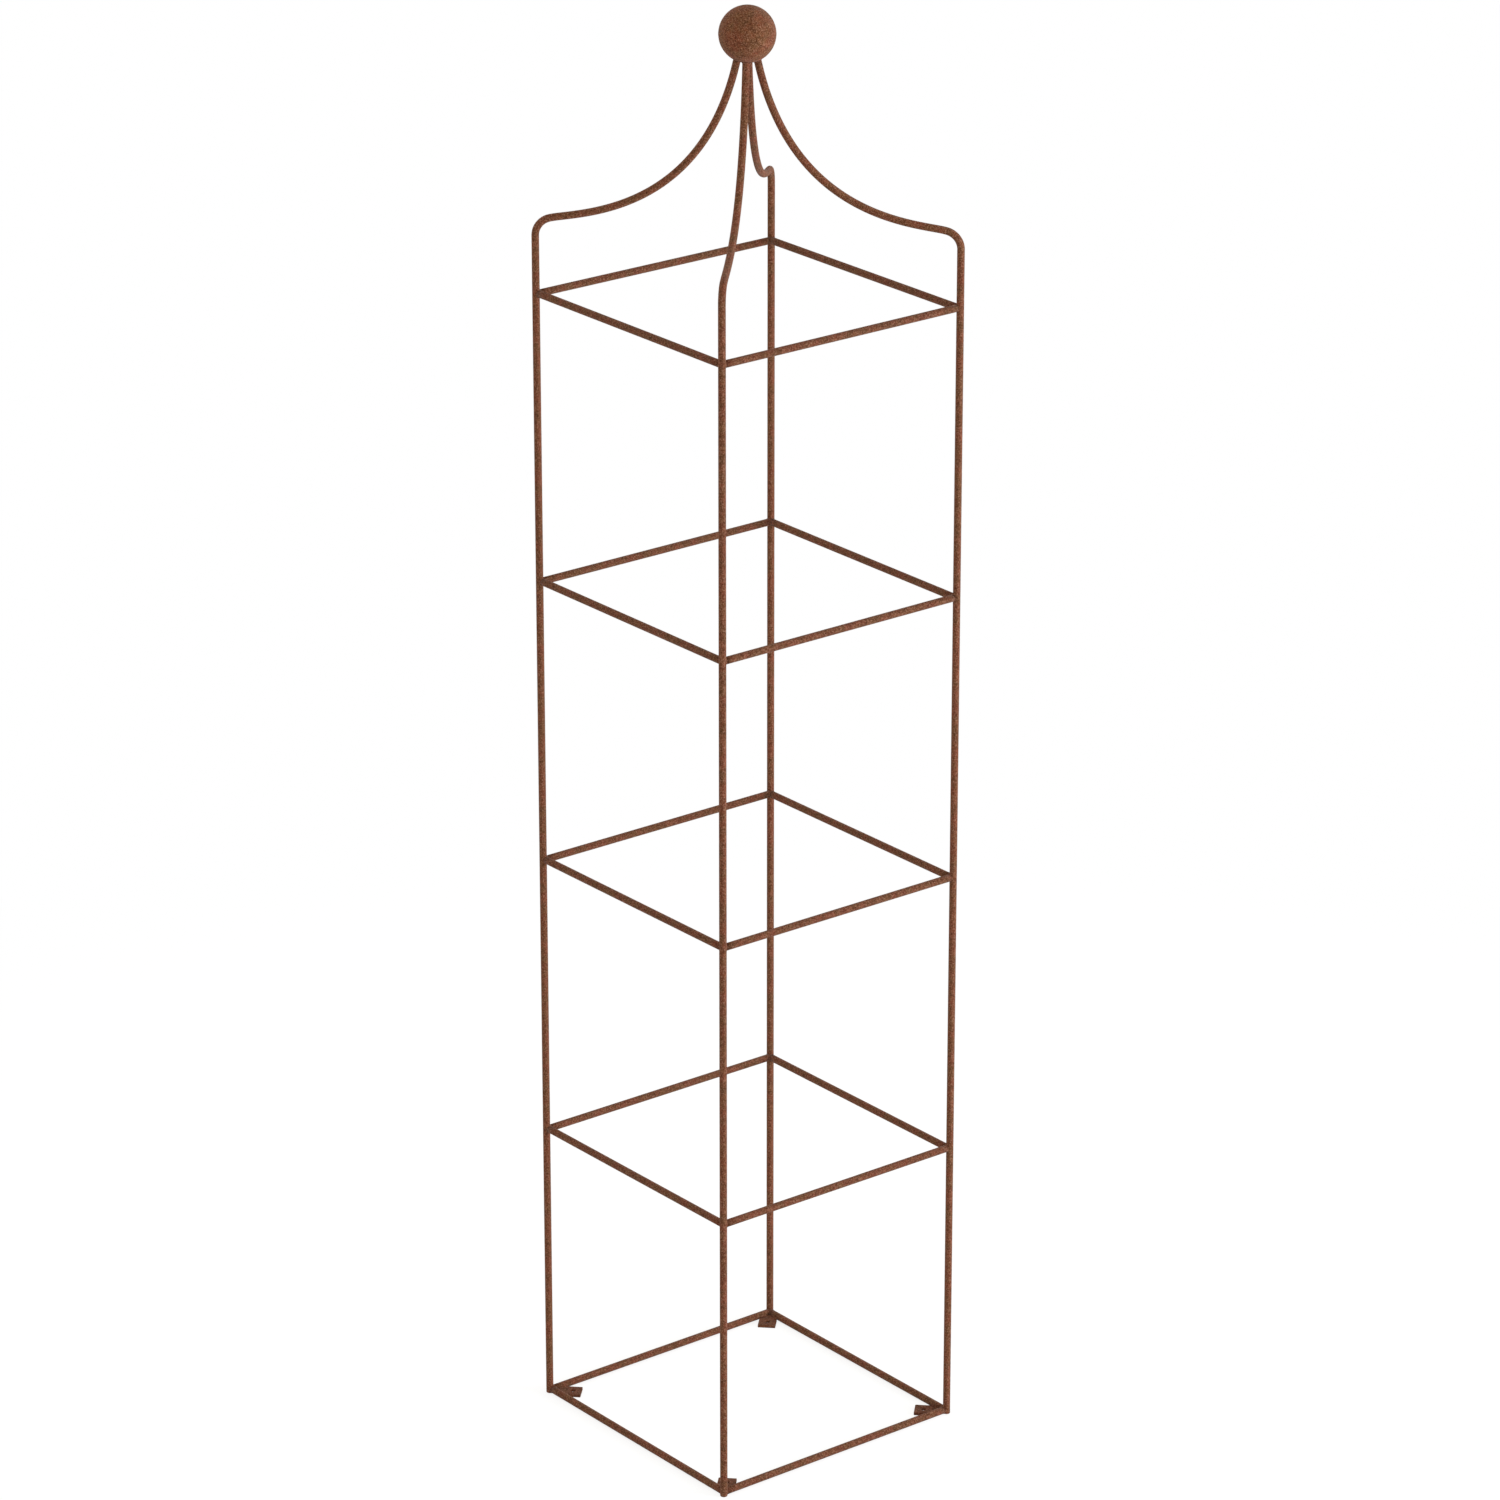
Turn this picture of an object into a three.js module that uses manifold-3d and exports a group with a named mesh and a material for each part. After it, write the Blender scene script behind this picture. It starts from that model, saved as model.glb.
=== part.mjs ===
// Garden obelisk: a free-standing frame of round steel bar for climbing plants.
//
// Four corner uprights rise straight from the ground, turn inwards at a tight shoulder and
// sweep up as ogee arms to a hollow ball finial. Five square rings, each of four straight
// bars, tie the uprights together. A drilled tab lies in each corner of the bottom ring.
// Every joint is a weld, so nothing moves.
//
// Millimetres, +Z up. The origin is on the ground in the middle of the base, and the front
// corner is towards -X and -Y.

import * as THREE from 'three';
import { mergeVertices } from 'three/addons/utils/BufferGeometryUtils.js';
import Module from 'manifold-3d';

const wasm = await Module();
wasm.setup();

// Overall sizes
const overallHeight = 2000;
const ringWidth = 400; // across the outsides of a ring's bars
const crownHeight = 395; // from the top ring's axis to the top of the ball
const ringCount = 5;

// Round bar, and the gap left between two pieces that are welded together
const rodDiameter = 10;
const jointGap = 0.3;

// Uprights
const standOff = 1.9; // how far an upright's axis lies outside the axes of the bars it joins
const shoulderRise = 79; // from the top ring's axis to where the shoulder starts
const shoulderRadius = 25; // to the bar's axis
const shoulderTurn = THREE.MathUtils.degToRad(72);
const armLean = THREE.MathUtils.degToRad(12.3); // from the vertical, where an arm meets the ball
const armSpacing = 9; // clear space between neighbouring arms where they meet the ball
const armStartPull = 0.095; // how long an arm keeps its first direction, as a share of its chord
const armEndPull = 0.67; // how long it keeps its last direction, as a share of its chord

// Ball finial, pressed as two half shells
const ballDiameter = 75;
const shellWall = 2;

// Fixing tabs, cut from flat bar
const tabWidth = 25;
const tabThickness = 4;
const tabReach = 42; // from the crossing of the bottom bars' axes to the tab's inner end
const holeDiameter = 6.5;
const holeEdge = 12.5; // from the tab's inner end to the middle of the hole

// Fineness of the facets
const rodSides = 16;
const holeSides = 16;
const ballSides = 32;
const shoulderSteps = 7;
const armSteps = 22;

// Values that follow from the sizes above
const rodRadius = rodDiameter / 2;
const ringHalf = ringWidth / 2 - rodRadius; // from the middle to a bar's axis
const uprightHalf = ringHalf + standOff;
const uprightReach = uprightHalf * Math.SQRT2; // from the middle to an upright's axis
const bottomRingHeight = rodRadius; // the bottom bars lie on the ground
const topRingHeight = overallHeight - crownHeight;
const ringPitch = (topRingHeight - bottomRingHeight) / (ringCount - 1);
const ballRadius = ballDiameter / 2;
const ballHeight = overallHeight - ballRadius;

// Each corner's direction is 45 degrees past the side of the same number, counted from +X.
const corners = ['back', 'left', 'front', 'right'];
const sides = ['back_right', 'back_left', 'front_left', 'front_right'];
const quarterTurn = Math.PI / 2;

// Solids

/** Turns a closed geometry into a solid that can be cut and joined. */
function toSolid(geometry) {
  const bare = geometry.clone();
  bare.deleteAttribute('normal');
  bare.deleteAttribute('uv');
  const merged = mergeVertices(bare);
  const index = merged.index.array;
  const triangles = [];
  for (let i = 0; i < index.length; i += 3) {
    const [a, b, c] = [index[i], index[i + 1], index[i + 2]];
    if (a !== b && b !== c && c !== a) triangles.push(a, b, c);
  }
  const vertProperties = new Float32Array(merged.attributes.position.array);
  const triVerts = new Uint32Array(triangles);
  return new wasm.Manifold(new wasm.Mesh({ numProp: 3, vertProperties, triVerts }));
}

/** Turns a solid back into a geometry. */
function toGeometry(solid) {
  const mesh = solid.getMesh();
  const geometry = new THREE.BufferGeometry();
  geometry.setAttribute('position', new THREE.BufferAttribute(mesh.vertProperties, 3));
  geometry.setIndex(new THREE.BufferAttribute(mesh.triVerts, 1));
  return geometry;
}

/** The points of a regular polygon inscribed in a circle, the first of them on +X. */
function circlePoints(radius, count) {
  return Array.from({ length: count }, (_, i) => {
    const angle = (i * 2 * Math.PI) / count;
    return new THREE.Vector2(radius * Math.cos(angle), radius * Math.sin(angle));
  });
}

/** A prism on the outline, from height `bottom` to height `top`. */
function prism(outline, bottom, top) {
  const shape = new THREE.Shape(outline);
  const geometry = new THREE.ExtrudeGeometry(shape, { depth: top - bottom, bevelEnabled: false });
  return geometry.translate(0, 0, bottom);
}

/** A path known by its stations, so that it can be straight in one step and curved in many. */
class StationPath extends THREE.Curve {
  constructor(points, tangents) {
    super();
    this.points = points;
    this.tangents = tangents;
    this.steps = points.length - 1;
  }

  getPointAt(u, target = new THREE.Vector3()) {
    return target.copy(this.points[Math.round(u * this.steps)]);
  }

  getTangentAt(u, target = new THREE.Vector3()) {
    return target.copy(this.tangents[Math.round(u * this.steps)]);
  }
}

// Uprights

/** The direction at an angle from the vertical, leaning towards the middle axis. */
function leaning(angle) {
  return new THREE.Vector3(-Math.sin(angle), 0, Math.cos(angle));
}

/**
 * The axis of one upright in its own XZ plane: a straight leg, the shoulder's arc, and the arm
 * as a cubic curve that leaves the shoulder and runs into the ball with the given lean.
 */
function uprightPath() {
  const legTop = topRingHeight + shoulderRise;
  const points = [new THREE.Vector3(uprightReach, 0, 0)];
  const tangents = [leaning(0)];

  const arcCentre = new THREE.Vector3(uprightReach - shoulderRadius, 0, legTop);
  for (let i = 0; i <= shoulderSteps; i += 1) {
    const angle = (shoulderTurn * i) / shoulderSteps;
    const spoke = new THREE.Vector3(Math.cos(angle), 0, Math.sin(angle));
    points.push(arcCentre.clone().addScaledVector(spoke, shoulderRadius));
    tangents.push(leaning(angle));
  }

  const start = points.at(-1);
  const footReach = (rodDiameter + armSpacing) / Math.SQRT2;
  const footDrop = Math.sqrt(ballRadius ** 2 - footReach ** 2);
  const foot = new THREE.Vector3(footReach, 0, ballHeight - footDrop);
  const chord = start.distanceTo(foot);
  const arm = new THREE.CubicBezierCurve3(
    start,
    start.clone().addScaledVector(leaning(shoulderTurn), armStartPull * chord),
    foot.clone().addScaledVector(leaning(armLean), -armEndPull * chord),
    foot,
  );
  for (let i = 1; i <= armSteps; i += 1) {
    points.push(arm.getPointAt(i / armSteps));
    tangents.push(arm.getTangentAt(i / armSteps));
  }

  // The bar runs on into the ball, and is then cut back to the ball's surface.
  points.push(foot.clone().addScaledVector(leaning(armLean), rodDiameter));
  tangents.push(leaning(armLean));
  return new StationPath(points, tangents);
}

/** One upright, with its top end hollowed to sit against the ball. */
function uprightGeometry() {
  const path = uprightPath();
  const section = new THREE.Shape(circlePoints(rodRadius, rodSides));
  const bar = new THREE.ExtrudeGeometry(section, { extrudePath: path, steps: path.steps });
  const ball = new THREE.SphereGeometry(ballRadius + jointGap, ballSides, ballSides / 2);
  ball.rotateX(quarterTurn).translate(0, 0, ballHeight);
  return toGeometry(toSolid(bar).subtract(toSolid(ball)));
}

// Ring bars

/**
 * The bar of the ring's +X side, with the ring's axis plane at height 0. Each end is mitred
 * against the next bar and hollowed to sit against the upright.
 */
function barGeometry() {
  const overlong = 2 * (uprightHalf + rodDiameter);
  const bar = new THREE.CylinderGeometry(rodRadius, rodRadius, overlong, rodSides);
  bar.translate(ringHalf, 0, 0);

  const apex = jointGap / Math.SQRT2;
  const mitre = prism(
    [
      new THREE.Vector2(apex, 0),
      new THREE.Vector2(apex + overlong, -overlong),
      new THREE.Vector2(apex + overlong, overlong),
    ],
    -rodDiameter,
    rodDiameter,
  );

  const hollow = prism(circlePoints(rodRadius + jointGap, rodSides), -rodDiameter, rodDiameter);
  let solid = toSolid(bar).intersect(toSolid(mitre));
  for (const end of [-1, 1]) {
    const cutter = hollow.clone().translate(uprightHalf, end * uprightHalf, 0);
    solid = solid.subtract(toSolid(cutter));
  }
  return toGeometry(solid);
}

// Fixing tabs

/**
 * One tab in its own frame, where +X is the diagonal towards the corner. Its outer end is a
 * right-angled point that fits between the two bottom bars.
 */
function tabGeometry() {
  const innerEnd = ringHalf * Math.SQRT2 - tabReach;
  const point = (ringHalf - rodRadius - jointGap) * Math.SQRT2;
  const halfWidth = tabWidth / 2;
  const outline = new THREE.Shape([
    new THREE.Vector2(innerEnd, -halfWidth),
    new THREE.Vector2(point - halfWidth, -halfWidth),
    new THREE.Vector2(point, 0),
    new THREE.Vector2(point - halfWidth, halfWidth),
    new THREE.Vector2(innerEnd, halfWidth),
  ]);
  const holeCentre = new THREE.Vector2(innerEnd + holeEdge, 0);
  const rim = circlePoints(holeDiameter / 2, holeSides).map((p) => p.add(holeCentre));
  outline.holes.push(new THREE.Path(rim));
  return new THREE.ExtrudeGeometry(outline, { depth: tabThickness, bevelEnabled: false });
}

// Ball finial

/** The upper half shell, with its rim half a joint gap above the ball's middle. */
function shellGeometry() {
  const rimHeight = jointGap / 2;
  const arcSteps = ballSides / 4;
  const arc = (radius) => {
    const rimAngle = Math.asin(rimHeight / radius);
    return Array.from({ length: arcSteps + 1 }, (_, i) => {
      const angle = rimAngle + ((quarterTurn - rimAngle) * i) / arcSteps;
      const reach = i === arcSteps ? 0 : radius * Math.cos(angle);
      return new THREE.Vector2(reach, radius * Math.sin(angle));
    });
  };
  const inside = arc(ballRadius - shellWall).reverse();
  const outside = arc(ballRadius);
  const shell = new THREE.LatheGeometry([...inside, ...outside], ballSides);
  return toGeometry(toSolid(shell.rotateX(quarterTurn)));
}

// Assembly

const obelisk = new THREE.Group();

function material(color, roughness) {
  return new THREE.MeshStandardMaterial({ color, roughness, metalness: 0.1 });
}

/** Adds a piece under its own name and with a material of its own. */
function addPiece(parent, name, geometry, color, roughness) {
  const mesh = new THREE.Mesh(geometry, material(color, roughness));
  mesh.name = name;
  parent.add(mesh);
  return mesh;
}

const upright = uprightGeometry();
const tab = tabGeometry();
corners.forEach((corner, i) => {
  const turned = new THREE.Group();
  turned.rotation.z = (i + 0.5) * quarterTurn;
  addPiece(turned, `upright_${corner}`, upright, 0x7a4c38, 0.85);
  addPiece(turned, `fixing_tab_${corner}`, tab, 0x6b4634, 0.9);
  obelisk.add(turned);
});

const bar = barGeometry();
for (let level = 0; level < ringCount; level += 1) {
  const ring = new THREE.Group();
  ring.position.z = bottomRingHeight + level * ringPitch;
  sides.forEach((side, i) => {
    const piece = addPiece(ring, `ring_${level + 1}_bar_${side}`, bar, 0x74482f, 0.85);
    piece.rotation.z = i * quarterTurn;
  });
  obelisk.add(ring);
}

const shell = shellGeometry();
const ball = new THREE.Group();
ball.position.z = ballHeight;
addPiece(ball, 'finial_upper_shell', shell, 0x7d4a35, 0.8);
addPiece(ball, 'finial_lower_shell', shell, 0x7d4a35, 0.8).rotation.x = Math.PI;
obelisk.add(ball);

export default obelisk;
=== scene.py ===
"""A garden obelisk of rusted round bar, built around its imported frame.

The uprights, ring bars, tabs and ball of the frame are replaced by finer skins of the same
sizes: round bars with dressed ends, a ball with its ground seam, sheared tabs with a drilled
hole, and a small weld bead round every joint. Everything is in metres, +Z up.
"""

import math

import bpy
import numpy as np
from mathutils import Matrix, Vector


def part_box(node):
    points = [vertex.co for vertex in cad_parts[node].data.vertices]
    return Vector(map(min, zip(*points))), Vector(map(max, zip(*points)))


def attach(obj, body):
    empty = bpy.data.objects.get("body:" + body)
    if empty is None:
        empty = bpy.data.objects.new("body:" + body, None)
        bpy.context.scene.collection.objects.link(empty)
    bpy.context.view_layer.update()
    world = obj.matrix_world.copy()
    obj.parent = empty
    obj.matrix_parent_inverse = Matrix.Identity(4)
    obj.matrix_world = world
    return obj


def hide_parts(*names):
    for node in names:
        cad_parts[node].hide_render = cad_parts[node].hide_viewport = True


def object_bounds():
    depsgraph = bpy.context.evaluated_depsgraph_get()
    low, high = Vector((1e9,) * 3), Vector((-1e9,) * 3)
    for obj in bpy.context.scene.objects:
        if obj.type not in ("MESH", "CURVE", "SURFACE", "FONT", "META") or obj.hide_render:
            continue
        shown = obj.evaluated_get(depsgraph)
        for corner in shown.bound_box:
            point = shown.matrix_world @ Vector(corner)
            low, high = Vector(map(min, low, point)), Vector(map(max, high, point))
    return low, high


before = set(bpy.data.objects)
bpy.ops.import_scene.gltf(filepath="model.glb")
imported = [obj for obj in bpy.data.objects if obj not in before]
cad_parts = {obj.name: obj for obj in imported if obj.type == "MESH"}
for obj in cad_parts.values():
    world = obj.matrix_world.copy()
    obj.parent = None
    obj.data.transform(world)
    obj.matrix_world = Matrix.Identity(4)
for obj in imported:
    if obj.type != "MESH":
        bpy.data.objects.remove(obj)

cad_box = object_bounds()

MM = 0.001

# Shape of the crown, which the boxes of the frame's nodes don't tell
SHOULDER_RISE = 79 * MM  # from the top ring's axis to where an upright starts to bend
SHOULDER_RADIUS = 25 * MM
SHOULDER_TURN = math.radians(72)
ARM_LEAN = math.radians(12.3)  # from the vertical, where an arm meets the ball
ARM_SPACING = 9 * MM  # clear space between neighbouring arms at the ball
ARM_START_PULL = 0.095  # shares of the arm's chord for which it keeps its end directions
ARM_END_PULL = 0.67

# Fixing tabs
TAB_WIDTH = 25 * MM
TAB_REACH = 42 * MM  # from the crossing of the bottom bars' axes to the tab's inner end
HOLE_DIAMETER = 6.5 * MM
HOLE_EDGE = 12.5 * MM  # from the tab's inner end to the middle of the hole

# Sizes read off the frame
GROUND = cad_box[0][2]
TOP = cad_box[1][2]
RINGS = 5
SIDES = ["back_right", "back_left", "front_left", "front_right"]  # +X, +Y, -X, -Y
CORNERS = ["back", "left", "front", "right"]  # each 45 degrees past its side


def node_size(node):
    """Low corner, high corner and extent of a node, as arrays."""
    low, high = (np.array(corner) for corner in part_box(node))
    return low, high, high - low


def ring_height(level):
    """Height of a ring's axis: the middle of one of its bars."""
    low, high, _ = node_size(f"ring_{level}_bar_front_right")
    return (low[2] + high[2]) / 2


bar_low, bar_high, bar_extent = node_size("ring_1_bar_back_right")
BAR_RADIUS = bar_extent[0] / 2
RING_HALF = (bar_low[0] + bar_high[0]) / 2
UPRIGHT_HALF = cad_box[1][0] - BAR_RADIUS
UPRIGHT_REACH = UPRIGHT_HALF * math.sqrt(2)
BALL_RADIUS = node_size("finial_upper_shell")[2][0] / 2
BALL_HEIGHT = TOP - BALL_RADIUS
TAB_THICKNESS = node_size("fixing_tab_front")[2][2]


# Meshes


def make_piece(name, points, faces, material, slot, *replaced):
    """Puts points and blocks of faces into a smooth-shaded object that rides on the frame."""
    mesh = bpy.data.meshes.new(name)
    mesh.from_pydata(points.tolist(), [], [face for block in faces for face in block.tolist()])
    mesh.polygons.foreach_set("use_smooth", np.ones(len(mesh.polygons), bool))
    mesh.materials.append(material)
    mesh.update()
    piece = bpy.data.objects.new(name, mesh)
    bpy.context.scene.collection.objects.link(piece)
    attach(piece, "root")
    if replaced:
        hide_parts(*replaced)


def grid_faces(rows, columns, wrap_rows=False):
    """Quads of a grid whose columns close on themselves, and whose rows may, as one block."""
    row = np.arange(rows if wrap_rows else rows - 1)[:, None]
    column = np.arange(columns)[None, :]
    after_row = (row + 1) % rows
    after_column = (column + 1) % columns
    corners = (
        row * columns + column,
        row * columns + after_column,
        after_row * columns + after_column,
        after_row * columns + column,
    )
    return np.stack(corners, axis=-1).reshape(-1, 4)


def closed_tube(rings):
    """Points and faces of a stack of rings, with a flat fan closing each end.

    `rings` is an array (ring, place around, xyz). Each end's pole is the mean of its ring.
    """
    count, sides, _ = rings.shape
    poles = rings[[0, -1]].mean(axis=1)
    points = np.concatenate([rings.reshape(-1, 3), poles])
    first, last = count * sides, count * sides + 1
    around = np.arange(sides)
    after = (around + 1) % sides
    start = np.stack([np.full(sides, first), after, around], axis=-1)
    end_row = (count - 1) * sides
    end = np.stack([np.full(sides, last), end_row + around, end_row + after], axis=-1)
    return points, [grid_faces(count, sides), start, end]


def rings_along(centres, tangents, across, radii, sides):
    """Circles carried along a path in a plane.

    `across` is the plane's normal. A point is its centre plus the radius times
    (cos a * across + sin a * tangent x across), for the angle a around the bar.
    """
    tangents = tangents / np.linalg.norm(tangents, axis=1)[:, None]
    upward = np.cross(tangents, across)
    angle = np.linspace(0, 2 * np.pi, sides, endpoint=False)
    spokes = (
        np.cos(angle)[None, :, None] * np.asarray(across)[None, None, :]
        + np.sin(angle)[None, :, None] * upward[:, None, :]
    )
    return centres[:, None, :] + np.asarray(radii)[:, None, None] * spokes


def turned(points, angle):
    """Points turned about the Z axis."""
    c, s = math.cos(angle), math.sin(angle)
    return points @ np.array([[c, s, 0], [-s, c, 0], [0, 0, 1]])


# Uprights

BAR_SIDES = 32
CUT_ROUND = 1.3 * MM  # the edge of a sawn end is dressed to this radius
CUT_STEPS = 4
LEG_STEPS, SHOULDER_STEPS, ARM_STEPS = 60, 24, 110
STEP_CROWDING = 1.3  # steps along an arm are closer together near the shoulder
ARM_SINK = 0.45 * BAR_RADIUS  # how far an arm's end runs into the ball's skin
BAR_SINK = 0.2 * BAR_RADIUS  # how far a ring bar's end runs into the upright


def leaning(angle):
    """Directions at angles from the vertical, leaning towards the middle axis."""
    return np.stack([-np.sin(angle), np.zeros_like(angle), np.cos(angle)], axis=-1)


def arm_curve():
    """The four control points of an arm's cubic curve, in the plane y = 0."""
    leg_top = ring_height(RINGS) + SHOULDER_RISE
    start = np.array([
        UPRIGHT_REACH - SHOULDER_RADIUS * (1 - math.cos(SHOULDER_TURN)),
        0,
        leg_top + SHOULDER_RADIUS * math.sin(SHOULDER_TURN),
    ])
    foot_reach = (2 * BAR_RADIUS + ARM_SPACING) / math.sqrt(2)
    foot_drop = math.sqrt(BALL_RADIUS**2 - foot_reach**2)
    foot = np.array([foot_reach, 0, BALL_HEIGHT - foot_drop])
    chord = np.linalg.norm(foot - start)
    return np.array([
        start,
        start + ARM_START_PULL * chord * leaning(np.array(SHOULDER_TURN)),
        foot - ARM_END_PULL * chord * leaning(np.array(ARM_LEAN)),
        foot,
    ])


def upright_path():
    """Centres and tangents up one upright, in the plane y = 0.

    The leg is straight, the shoulder is an arc of a circle, and the arm is a cubic curve
    with both its end directions given. The last step runs into the ball's skin.
    """
    leg_top = ring_height(RINGS) + SHOULDER_RISE
    leg_z = np.linspace(GROUND, leg_top, LEG_STEPS, endpoint=False)
    leg = np.stack([np.full_like(leg_z, UPRIGHT_REACH), 0 * leg_z, leg_z], axis=-1)
    leg_tangent = leaning(np.zeros(LEG_STEPS))

    turn = np.linspace(0, SHOULDER_TURN, SHOULDER_STEPS, endpoint=False)
    shoulder = np.stack([
        UPRIGHT_REACH - SHOULDER_RADIUS * (1 - np.cos(turn)),
        0 * turn,
        leg_top + SHOULDER_RADIUS * np.sin(turn),
    ], axis=-1)

    p0, p1, p2, p3 = arm_curve()
    t = np.linspace(0, 1, ARM_STEPS)[:, None] ** STEP_CROWDING
    arm = (1 - t)**3 * p0 + 3 * (1 - t)**2 * t * p1 + 3 * (1 - t) * t**2 * p2 + t**3 * p3
    arm_tangent = (1 - t)**2 * (p1 - p0) + 2 * (1 - t) * t * (p2 - p1) + t**2 * (p3 - p2)

    tip = p3 + ARM_SINK * leaning(np.array([ARM_LEAN]))
    centres = np.concatenate([leg, shoulder, arm, tip])
    tangents = np.concatenate([leg_tangent, leaning(turn), arm_tangent, arm_tangent[-1:]])
    return centres, tangents


def upright_rings():
    """Rings of one upright, with the rim of its sawn foot rounded.

    Down the foot the radius is the bar's less CUT_ROUND * (1 - sin a), and the height above
    the ground is CUT_ROUND * (1 - cos a), as a goes from 0 to a right angle.
    """
    centres, tangents = upright_path()
    a = np.linspace(0, np.pi / 2, CUT_STEPS)
    foot = np.repeat(centres[:1], CUT_STEPS, axis=0)
    foot[:, 2] += CUT_ROUND * (1 - np.cos(a))
    foot_radii = BAR_RADIUS - CUT_ROUND * (1 - np.sin(a))
    centres = np.concatenate([foot, centres[1:]])
    tangents = np.concatenate([np.repeat(tangents[:1], CUT_STEPS, axis=0), tangents[1:]])
    radii = np.concatenate([foot_radii, np.full(len(centres) - CUT_STEPS, BAR_RADIUS)])
    return rings_along(centres, tangents, np.array([0.0, 1.0, 0.0]), radii, BAR_SIDES)


# Ring bars

RING_BAR_STEPS = 24


def joint_reach(angle):
    """How far along +Y the bar of the +X side runs before it meets steel, at each angle.

    The angle goes around the bar from its outer side over its top. The skin meets the
    upright's round face where it is outside the mitre, and else the next bar's skin.
    """
    outward = RING_HALF + BAR_RADIUS * np.cos(angle)
    off_axis = np.clip((outward - UPRIGHT_HALF) / BAR_RADIUS, -1, 1)
    at_upright = UPRIGHT_HALF - BAR_RADIUS * np.sqrt(1 - off_axis**2)
    at_next_bar = RING_HALF - BAR_RADIUS * np.abs(np.cos(angle))
    return np.where(np.cos(angle) > 0, at_upright, np.minimum(at_upright, at_next_bar))


def bar_rings(height):
    """Rings of the +X side's bar, each end shaped to the steel that it meets.

    A ring's points stand at equal angles round the bar and at a share of joint_reach along
    it, and the last ring on each side runs a little way into the upright.
    """
    angle = np.linspace(0, 2 * np.pi, BAR_SIDES, endpoint=False)
    share = np.linspace(-1, 1, RING_BAR_STEPS)
    along = share[:, None] * (joint_reach(angle)[None, :] + BAR_SINK)
    return np.stack([
        np.broadcast_to(RING_HALF + BAR_RADIUS * np.cos(angle), along.shape),
        along,
        np.broadcast_to(height + BAR_RADIUS * np.sin(angle), along.shape),
    ], axis=-1)[:, ::-1]


# Weld beads

BEAD_RADIUS = 0.75 * MM
TAB_BEAD_RADIUS = 1.1 * MM
RIPPLE_PITCH = 1.7 * MM  # from one ripple of a bead to the next
BEAD_SIDES = 12
BEAD_CLEARANCE = 0.1 * MM  # beads under the bottom ring are ground back to clear the floor
BEAD_STEPS = 72  # round one bar
SWELLING = 0.08  # how far each of a bead's chance waves swells it, as a share of its radius
RIPPLE = 0.05
SUNK = 0.25 * BEAD_RADIUS  # how deep a bead's middle lies in the bar's skin
rng = np.random.default_rng(12)


def bead_radii(path, radius, closed):
    """Radius along a bead: ripples at the welding pace, and slow chance swelling."""
    step = np.linalg.norm(np.diff(path, axis=0), axis=1)
    length = np.concatenate([[0], np.cumsum(step)])
    ripple = np.sin(2 * np.pi * length / RIPPLE_PITCH + rng.uniform(0, 2 * np.pi))
    wave = np.linspace(0, 2 * np.pi, len(path))
    swell = sum(
        rng.uniform(-SWELLING, SWELLING) * np.sin(k * wave + rng.uniform(0, 2 * np.pi))
        for k in (1, 2, 3)
    )
    radii = radius * (1 + RIPPLE * ripple + swell)
    if not closed:
        radii = radii * np.sqrt(np.clip(1 - np.linspace(-1, 1, len(path))**4, 0.02, 1))
    return radii


def bead(path, outward, radius=BEAD_RADIUS, closed=True):
    """Points and faces of a bead: circles square to the path, sized by bead_radii.

    `outward` is a direction at each point of the path that isn't along it. A closed path
    doesn't repeat its first point.
    """
    if closed:
        tangents = np.roll(path, -1, axis=0) - np.roll(path, 1, axis=0)
    else:
        tangents = np.gradient(path, axis=0)
    tangents = tangents / np.linalg.norm(tangents, axis=1)[:, None]
    across = outward - (outward * tangents).sum(axis=1)[:, None] * tangents
    across = across / np.linalg.norm(across, axis=1)[:, None]
    upward = np.cross(tangents, across)
    angle = np.linspace(0, 2 * np.pi, BEAD_SIDES, endpoint=False)[None, :, None]
    radii = bead_radii(path, radius, closed)[:, None, None]
    spokes = np.cos(angle) * across[:, None] + np.sin(angle) * upward[:, None]
    rings = path[:, None] + radii * spokes
    rings[..., 2] = np.maximum(rings[..., 2], GROUND + BEAD_CLEARANCE)
    if closed:
        return rings.reshape(-1, 3), [grid_faces(*rings.shape[:2], wrap_rows=True)]
    return closed_tube(rings)


def joined(parts):
    """Several lots of points and faces as one."""
    before = np.cumsum([0] + [len(points) for points, _ in parts])
    faces = [block + first for first, (_, blocks) in zip(before, parts) for block in blocks]
    return np.concatenate([points for points, _ in parts]), faces


def bar_end_bead(height, end):
    """The bead round one end of the +X side's bar, where it meets the upright."""
    angle = np.linspace(0, 2 * np.pi, BEAD_STEPS, endpoint=False)
    reach = joint_reach(angle)
    for _ in range(6):  # carries the bead round the mitre's corner without a kink
        reach = (np.roll(reach, 1) + 2 * reach + np.roll(reach, -1)) / 4
    set_back = 0.2 * BEAD_RADIUS
    skin = BAR_RADIUS - SUNK
    path = np.stack([
        RING_HALF + skin * np.cos(angle),
        end * (reach - set_back),
        height + skin * np.sin(angle),
    ], axis=-1)
    outward = np.stack([np.cos(angle), 0 * angle, np.sin(angle)], axis=-1)
    return bead(path if end > 0 else path[::-1], outward if end > 0 else outward[::-1])


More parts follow.
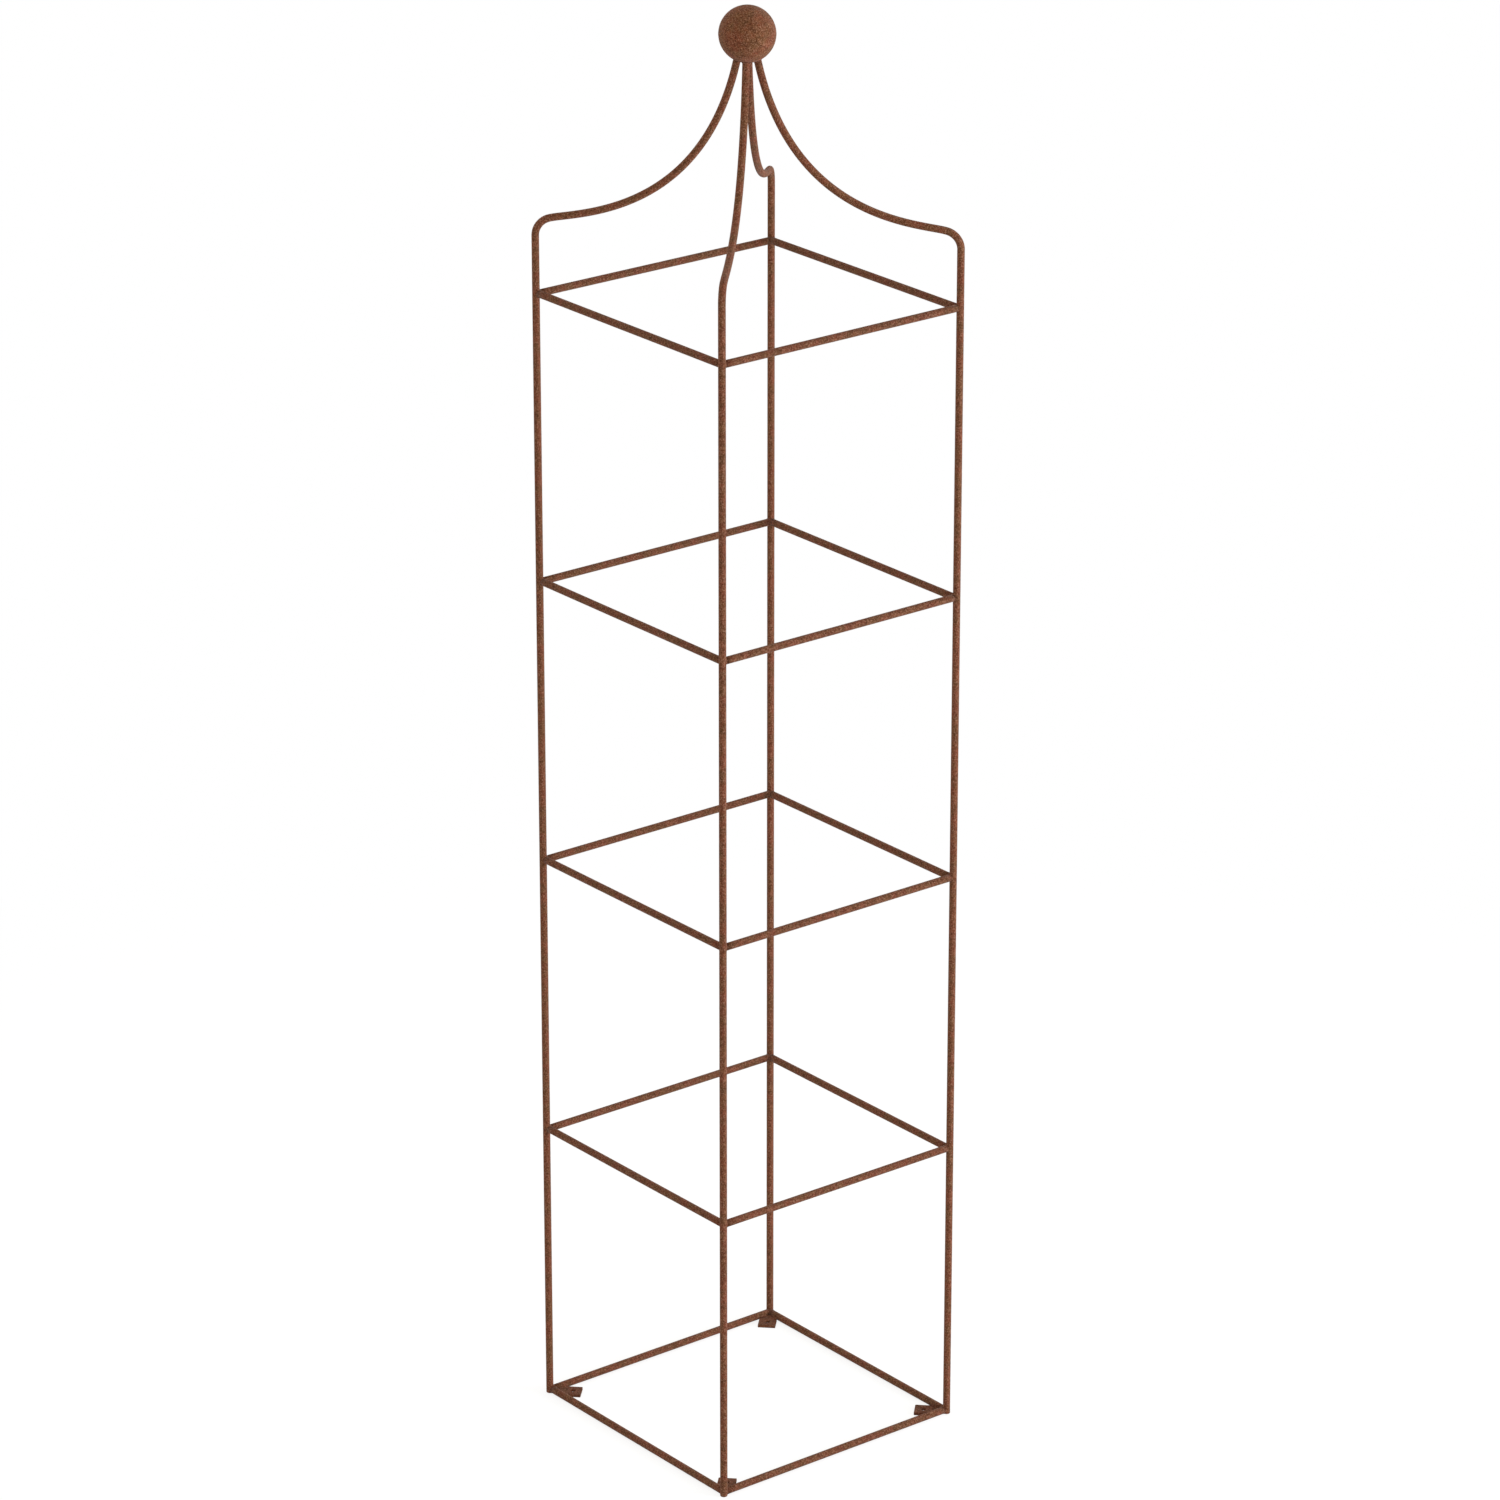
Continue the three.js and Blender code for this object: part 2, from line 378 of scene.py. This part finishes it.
def arm_bead():
    """The bead where an arm in the plane y = 0 meets the ball.

    Each line along the bar's skin is carried on until it is a ball's radius from the
    ball's middle.
    """
    foot = arm_curve()[3]
    direction = leaning(np.array(ARM_LEAN))
    across = np.array([0.0, 1.0, 0.0])
    angle = np.linspace(0, 2 * np.pi, BEAD_STEPS, endpoint=False)
    outward = (
        np.cos(angle)[:, None] * across
        + np.sin(angle)[:, None] * np.cross(direction, across)
    )
    skin = foot + (BAR_RADIUS - SUNK) * outward
    from_middle = skin - np.array([0, 0, BALL_HEIGHT])
    b = from_middle @ direction
    c = (from_middle**2).sum(axis=1) - BALL_RADIUS**2
    distance = -b - np.sqrt(b**2 - c)
    path = skin + (distance - 0.3 * BEAD_RADIUS)[:, None] * direction
    return bead(path, outward)


# Fixing tabs

CORNER_ROUND = 1.0 * MM  # the tab's corners, seen from above
SHEARED_ROUND = 0.5 * MM  # the edges left by the shears
DRILLED_ROUND = 1.15 * MM  # the broken edge of the hole


def tab_outline():
    """The tab's outline seen from above, with its diagonal along +X.

    It is the rectangle of the flat bar with its outer end cut to a right-angled point. Each
    corner is a quadratic curve that starts and ends CORNER_ROUND away along its two sides,
    and the side after it is stepped evenly to the next corner.
    """
    inner = RING_HALF * math.sqrt(2) - TAB_REACH
    point = (RING_HALF - BAR_RADIUS) * math.sqrt(2)
    half = TAB_WIDTH / 2
    corners = np.array([
        [inner, -half], [point - half, -half], [point, 0], [point - half, half], [inner, half],
    ])
    following = np.roll(corners, -1, axis=0)
    along = following - corners
    along = along / np.linalg.norm(along, axis=1)[:, None]
    start = corners - CORNER_ROUND * np.roll(along, 1, axis=0)
    end = corners + CORNER_ROUND * along
    t = np.linspace(0, 1, 7)[None, :, None]
    bends = (
        (1 - t)**2 * start[:, None] + 2 * (1 - t) * t * corners[:, None] + t**2 * end[:, None]
    )
    share = np.linspace(0, 1, 18)[None, 1:-1, None]
    next_start = following - CORNER_ROUND * along
    sides = (1 - share) * end[:, None] + share * next_start[:, None]
    return np.concatenate([bends, sides], axis=1).reshape(-1, 2)


def tab_surface():
    """Points and faces of a tab whose diagonal is +X.

    One parameter goes round the outline, and the other round the section: up the sheared
    edge, in over the top to the drilled hole, down it, and back out underneath. Between the
    outline and the hole a point is a straight mix of the two, at the same turn about the
    hole's middle.
    """
    outline = tab_outline()
    middle = np.array([RING_HALF * math.sqrt(2) - TAB_REACH + HOLE_EDGE, 0])
    from_middle = outline - middle
    spoke = from_middle / np.linalg.norm(from_middle, axis=1)[:, None]
    rim = middle + HOLE_DIAMETER / 2 * spoke

    a = np.linspace(0, np.pi / 2, 4)
    edge_in, edge_up = SHEARED_ROUND * (1 - np.sin(a)), SHEARED_ROUND * (1 - np.cos(a))
    hole_in, hole_up = DRILLED_ROUND * (1 - np.sin(a)), DRILLED_ROUND * (1 - np.cos(a))
    t = TAB_THICKNESS
    rows = []
    for inset, height in zip(edge_in, edge_up):
        rows.append((outline - inset * spoke, height))
    for inset, height in zip(edge_in[::-1], t - edge_up[::-1]):
        rows.append((outline - inset * spoke, height))
    for share in (0.25, 0.5, 0.75):
        rows.append((outline + share * (rim - outline), t))
    for inset, height in zip(hole_in, t - hole_up):
        rows.append((rim + inset * spoke, height))
    for inset, height in zip(hole_in[::-1], hole_up[::-1]):
        rows.append((rim + inset * spoke, height))
    for share in (0.75, 0.5, 0.25):
        rows.append((outline + share * (rim - outline), 0.0))
    points = np.array([
        np.concatenate([flat, np.full((len(flat), 1), GROUND + height)], axis=1)
        for flat, height in rows
    ])
    return points.reshape(-1, 3), [grid_faces(*points.shape[:2], wrap_rows=True)]


def tab_beads():
    """The two beads along a tab's pointed end, on top, where it lies against the bars."""
    point = (RING_HALF - BAR_RADIUS) * math.sqrt(2)
    half = TAB_WIDTH / 2
    parts = []
    for side in (-1, 1):
        start = np.array([point - half + 0.5 * MM, side * (half - 0.5 * MM), 0])
        end = np.array([point - 1.0 * MM, side * 1.0 * MM, 0])
        t = np.linspace(0, 1, 60)[:, None]
        path = (1 - t) * start + t * end
        path[:, 2] = GROUND + TAB_THICKNESS + 0.1 * MM
        outward = np.tile([0.0, 0.0, 1.0], (len(path), 1))
        parts.append(bead(path, outward, TAB_BEAD_RADIUS, closed=False))
    return parts


# Ball

SEAM_WIDTH = 5 * MM
SEAM_HEIGHT = 0.1 * MM
BALL_ROWS, BALL_COLUMNS = 120, 160


def ball_surface():
    """A ball with a low ground band round its middle where the half shells are welded.

    The radius is the ball's, less the band's height, plus that height where the band is: a
    bell curve of the height above the middle, whose width wanders a little around the ball.
    """
    latitude = np.linspace(-np.pi / 2, np.pi / 2, BALL_ROWS)[1:-1, None]
    longitude = np.linspace(0, 2 * np.pi, BALL_COLUMNS, endpoint=False)[None, :]
    wander = 1 + 0.15 * np.sin(3 * longitude + 1) + 0.1 * np.sin(7 * longitude)
    height = BALL_RADIUS * np.sin(latitude)
    band = np.exp(-((height / (SEAM_WIDTH / 2 * wander)) ** 4))
    radius = BALL_RADIUS - SEAM_HEIGHT * (1 - band)
    rings = np.stack([
        radius * np.cos(latitude) * np.cos(longitude),
        radius * np.cos(latitude) * np.sin(longitude),
        radius * np.sin(latitude) + BALL_HEIGHT,
    ], axis=-1)
    return closed_tube(rings)


# Materials


def linear(hex_colour):
    """An sRGB hex colour as linear RGBA."""
    parts = [int(hex_colour[i:i + 2], 16) / 255 for i in (1, 3, 5)]
    return [c / 12.92 if c <= 0.04045 else ((c + 0.055) / 1.055) ** 2.4 for c in parts] + [1]


def add(tree, kind, inputs=None, **settings):
    """Adds a node, sets it up, and fills or links its inputs."""
    node = tree.nodes.new(kind)
    for name, value in settings.items():
        setattr(node, name, value)
    for socket, value in (inputs or {}).items():
        if isinstance(value, bpy.types.NodeSocket):
            tree.links.new(value, node.inputs[socket])
        else:
            node.inputs[socket].default_value = value
    return node


MOTTLE_MM = 6.0  # thin and thick places in the skin
GRAIN_MM = 1.7  # crumbs of rust are 0.2 to 0.5 mm, drawn this coarse so that they show
GRIT_MM = 0.6  # real grit is about 0.1 mm, drawn this coarse for the same reason


def rusted_steel(name, red, olive, pit, crumb, patch_mm):
    """Steel under a closed, dry skin of fine rust, as it comes out of the weather.

    `red` and `olive` are the two body colours, which take turns over patches of `patch_mm`.
    """
    material = bpy.data.materials.new(name)
    material.use_nodes = True
    tree = material.node_tree
    tree.nodes.clear()
    place = add(tree, "ShaderNodeTexCoord").outputs["Object"]

    # Cloudy patches: redder where the rust is young, olive where it has settled.
    patches = add(tree, "ShaderNodeTexNoise", {
        "Vector": place, "Scale": 1 / (patch_mm * MM), "Detail": 2.0, "Roughness": 0.6,
    })
    redness = add(tree, "ShaderNodeMapRange", {
        "Value": patches.outputs["Fac"], "From Min": 0.36, "From Max": 0.64,
    })
    body = add(tree, "ShaderNodeMix", {
        "Factor": redness.outputs[0], 6: linear(olive), 7: linear(red),
    }, data_type="RGBA")

    # Mottling of a few millimetres, light against dark, where the skin is thin or thick.
    mottling = add(tree, "ShaderNodeTexNoise", {
        "Vector": place, "Scale": 1 / (MOTTLE_MM * MM), "Detail": 2.0, "Roughness": 0.6,
    })
    thickness = add(tree, "ShaderNodeMapRange", {
        "Value": mottling.outputs["Fac"], "From Min": 0.35, "From Max": 0.65,
        "To Min": 0.80, "To Max": 1.22,
    })
    skin = add(tree, "ShaderNodeVectorMath", {
        0: body.outputs[2], "Scale": thickness.outputs[0],
    }, operation="SCALE")

    # Grains of rust: the hollows are dark and deep in colour, and the crumbs that stand up
    # are dry and pale.
    grains = add(tree, "ShaderNodeTexNoise", {
        "Vector": place, "Scale": 1 / (GRAIN_MM * MM), "Detail": 3.0, "Roughness": 0.6,
    })
    pits = add(tree, "ShaderNodeMapRange", {
        "Value": grains.outputs["Fac"], "From Min": 0.50, "From Max": 0.30,
    })
    crumbs = add(tree, "ShaderNodeMapRange", {
        "Value": grains.outputs["Fac"], "From Min": 0.50, "From Max": 0.72,
    })
    pitted = add(tree, "ShaderNodeMix", {
        "Factor": pits.outputs[0], 6: skin.outputs[0], 7: linear(pit),
    }, data_type="RGBA")
    colour = add(tree, "ShaderNodeMix", {
        "Factor": crumbs.outputs[0], 6: pitted.outputs[2], 7: linear(crumb),
    }, data_type="RGBA")

    # Rust scatters light widely; the crumbs are the driest.
    roughness = add(tree, "ShaderNodeMapRange", {
        "Value": grains.outputs["Fac"], "From Min": 0.3, "From Max": 0.7,
        "To Min": 0.72, "To Max": 0.92,
    })

    # Relief: crumbs stand up, pits sink in, and grit finer than either roughens both.
    grit = add(tree, "ShaderNodeTexNoise", {
        "Vector": place, "Scale": 1 / (GRIT_MM * MM), "Detail": 3.0, "Roughness": 0.7,
    })
    raised = add(tree, "ShaderNodeMath", {
        0: grit.outputs["Fac"], 1: 0.6, 2: crumbs.outputs[0],
    }, operation="MULTIPLY_ADD")
    relief = add(tree, "ShaderNodeMath", {
        0: raised.outputs[0], 1: pits.outputs[0],
    }, operation="SUBTRACT")
    bump = add(tree, "ShaderNodeBump", {
        "Strength": 0.8, "Distance": 0.35 * MM, "Height": relief.outputs[0],
    })

    # Loose dust of rust catches light at a glancing view, as a sheen does.
    shader = add(tree, "ShaderNodeBsdfPrincipled", {
        "Base Color": colour.outputs[2], "Roughness": roughness.outputs[0],
        "Normal": bump.outputs[0], "Metallic": 0.0, "IOR": 1.5, "Specular IOR Level": 0.15,
        "Sheen Weight": 0.15, "Sheen Roughness": 0.35, "Sheen Tint": linear("#f0e4e0"),
    })
    add(tree, "ShaderNodeOutputMaterial", {"Surface": shader.outputs[0]})
    return material


# Hot-rolled round bar, bent cold, whose scale has flaked off and left an even orange-brown.
upright_rust = rusted_steel(
    "bent_bar_rust", "#834831", "#744c2e", "#512710", "#b0826a", 17)

# The same bar cut short and left straight: some mill scale is still on it, so it is a
# little darker.
ring_rust = rusted_steel(
    "straight_bar_rust", "#7c442f", "#6e482b", "#4c250e", "#a77b64", 15)

# Weld metal, cleaned by brushing and rusted after the bars: smaller patches, close in colour.
weld_rust = rusted_steel(
    "weld_metal_rust", "#7b4530", "#6d482b", "#4b2510", "#a37762", 9)

# Hot-rolled flat bar, sheared and drilled, which lies damp on the ground: the darkest.
tab_rust = rusted_steel(
    "sheared_flat_rust", "#733e26", "#674024", "#48210c", "#9b6e55", 13)

# Sheet pressed into half shells and ground at the seam: the smoothest skin takes the widest
# patches and the warmest rust.
ball_rust = rusted_steel(
    "pressed_sheet_rust", "#85492f", "#764d2c", "#512710", "#b4846b", 20)


# Making the pieces

QUARTER = math.pi / 2

upright = closed_tube(upright_rings())
tab = tab_surface()
for i, corner in enumerate(CORNERS):
    heading = (i + 0.5) * QUARTER
    make_piece(f"{corner}_upright_bar", turned(upright[0], heading), upright[1],
               upright_rust, "bar", f"upright_{corner}")
    make_piece(f"{corner}_tab_plate", turned(tab[0], heading), tab[1],
               tab_rust, "tab", f"fixing_tab_{corner}")

for level in range(1, RINGS + 1):
    points, faces = closed_tube(bar_rings(ring_height(level)))
    for i, side in enumerate(SIDES):
        make_piece(f"level_{level}_{side}_bar", turned(points, i * QUARTER), faces,
                   ring_rust, "bar", f"ring_{level}_bar_{side}")

for i, corner in enumerate(CORNERS):
    beads = []
    for level in range(1, RINGS + 1):
        for side_turn, end in ((i, 1), (i + 1, -1)):
            points, faces = bar_end_bead(ring_height(level), end)
            beads.append((turned(points, side_turn * QUARTER), faces))
    heading = (i + 0.5) * QUARTER
    for points, faces in [arm_bead(), *tab_beads()]:
        beads.append((turned(points, heading), faces))
    make_piece(f"{corner}_weld_beads", *joined(beads), weld_rust, "bar")

make_piece("finial_ball", *ball_surface(), ball_rust, "finial",
           "finial_upper_shell", "finial_lower_shell")


# Studio

KEY_COLOUR = (0.95, 1.0, 1.12)  # a touch cooler than the fill
ROOM_COLOUR = (1.0, 0.985, 0.93, 1)
AMBIENT = 0.65  # what the room gives from every side
FLOOR_PAINT = 0.8
FLOOR_GLOW = 0.5  # what the camera sees added to the lit paint, so that it comes out white
FLOOR_RADIUS = 7.0
SHADOW_SHARE = 0.35  # how much of the lit floor the camera sees near the frame
SHADOW_FULL_TO = 0.6  # distances from the middle between which the shadow fades out
SHADOW_GONE_AT = 2.2

KEY_PLACE = (2.58, -3.69, 1.2)  # low, to the right of the camera
KEY_TARGET = (0, 0, 1.0)
KEY_SIZE = (1.6, 1.4)
KEY_WATTS = 122

CAMERA_PLACE = (-4.92054, -6.21251, 4.05574)
CAMERA_HEADING = -0.6703  # radians, from +Y towards +X
CAMERA_DOWN = 0.3706  # radians below the horizon
CAMERA_LENS = 152.33


def aimed_lamp(name, place, target, size, power):
    """A soft square lamp at a place, facing a target."""
    data = bpy.data.lights.new(name, "AREA")
    data.shape = "RECTANGLE"
    data.size, data.size_y = size
    data.energy = power
    data.color = KEY_COLOUR
    lamp = bpy.data.objects.new(name, data)
    lamp.location = place
    toward = np.array(target) - np.array(place)
    flat = math.hypot(toward[0], toward[1])
    lamp.rotation_euler = (math.atan2(flat, -toward[2]), 0, math.atan2(-toward[0], toward[1]))
    bpy.context.scene.collection.objects.link(lamp)


def plainly_seen(tree):
    """1 for what the camera sees, straight on or in gloss or through glass, and else 0."""
    path = add(tree, "ShaderNodeLightPath").outputs
    seen = add(tree, "ShaderNodeMath", {0: path["Is Camera Ray"], 1: path["Is Glossy Ray"]},
               operation="MAXIMUM")
    return add(tree, "ShaderNodeMath",
               {0: seen.outputs[0], 1: path["Is Transmission Ray"]},
               operation="MAXIMUM").outputs[0]


def white_backdrop_world():
    """A room that lights evenly and looks white behind the object and in reflections."""
    world = bpy.data.worlds.new("studio_room")
    world.use_nodes = True
    tree = world.node_tree
    tree.nodes.clear()
    room = add(tree, "ShaderNodeBackground", {"Color": ROOM_COLOUR, "Strength": AMBIENT})
    white = add(tree, "ShaderNodeBackground", {"Color": (1, 1, 1, 1), "Strength": 1.0})
    mixed = add(tree, "ShaderNodeMixShader",
                {0: plainly_seen(tree), 1: room.outputs[0], 2: white.outputs[0]})
    add(tree, "ShaderNodeOutputWorld", {"Surface": mixed.outputs[0]})
    bpy.context.scene.world = world


def white_floor():
    """A round white floor that takes the frame's soft shadow and fades to plain white."""
    material = bpy.data.materials.new("matt_white_floor")
    material.use_nodes = True
    tree = material.node_tree
    tree.nodes.clear()
    place = add(tree, "ShaderNodeTexCoord").outputs["Object"]
    away = add(tree, "ShaderNodeVectorMath", {0: place}, operation="LENGTH").outputs["Value"]
    fade = add(tree, "ShaderNodeMapRange", {
        "Value": away, "From Min": SHADOW_FULL_TO, "From Max": SHADOW_GONE_AT,
        "To Min": SHADOW_SHARE, "To Max": 0.0,
    }, interpolation_type="SMOOTHSTEP").outputs["Result"]
    paint = add(tree, "ShaderNodeBsdfDiffuse", {"Color": (*[FLOOR_PAINT] * 3, 1)})
    glow = add(tree, "ShaderNodeEmission", {"Color": (1, 1, 1, 1), "Strength": FLOOR_GLOW})
    lit = add(tree, "ShaderNodeAddShader", {0: paint.outputs[0], 1: glow.outputs[0]})
    plain = add(tree, "ShaderNodeEmission", {"Color": (1, 1, 1, 1), "Strength": 1.0})
    seen = add(tree, "ShaderNodeMixShader", {0: fade, 1: plain.outputs[0], 2: lit.outputs[0]})
    both = add(tree, "ShaderNodeMixShader",
               {0: plainly_seen(tree), 1: paint.outputs[0], 2: seen.outputs[0]})
    add(tree, "ShaderNodeOutputMaterial", {"Surface": both.outputs[0]})
    angle = np.linspace(0, 2 * np.pi, 96, endpoint=False)
    points = FLOOR_RADIUS * np.stack([np.cos(angle), np.sin(angle), 0 * angle], axis=-1)
    mesh = bpy.data.meshes.new("floor")
    mesh.from_pydata(points.tolist(), [], [list(range(len(angle)))])
    mesh.materials.append(material)
    floor = bpy.data.objects.new("floor", mesh)
    bpy.context.scene.collection.objects.link(floor)


def long_lens_camera():
    """A level long lens towards the front corner, looking down a little on the frame."""
    data = bpy.data.cameras.new("camera")
    data.lens = CAMERA_LENS
    data.sensor_width = 36
    camera = bpy.data.objects.new("camera", data)
    camera.location = CAMERA_PLACE
    camera.rotation_euler = (math.pi / 2 - CAMERA_DOWN, 0, CAMERA_HEADING)
    bpy.context.scene.collection.objects.link(camera)
    bpy.context.scene.camera = camera


long_lens_camera()
white_backdrop_world()
white_floor()
aimed_lamp("key_softbox", KEY_PLACE, KEY_TARGET, KEY_SIZE, KEY_WATTS)
bpy.context.scene.view_settings.view_transform = "Standard"
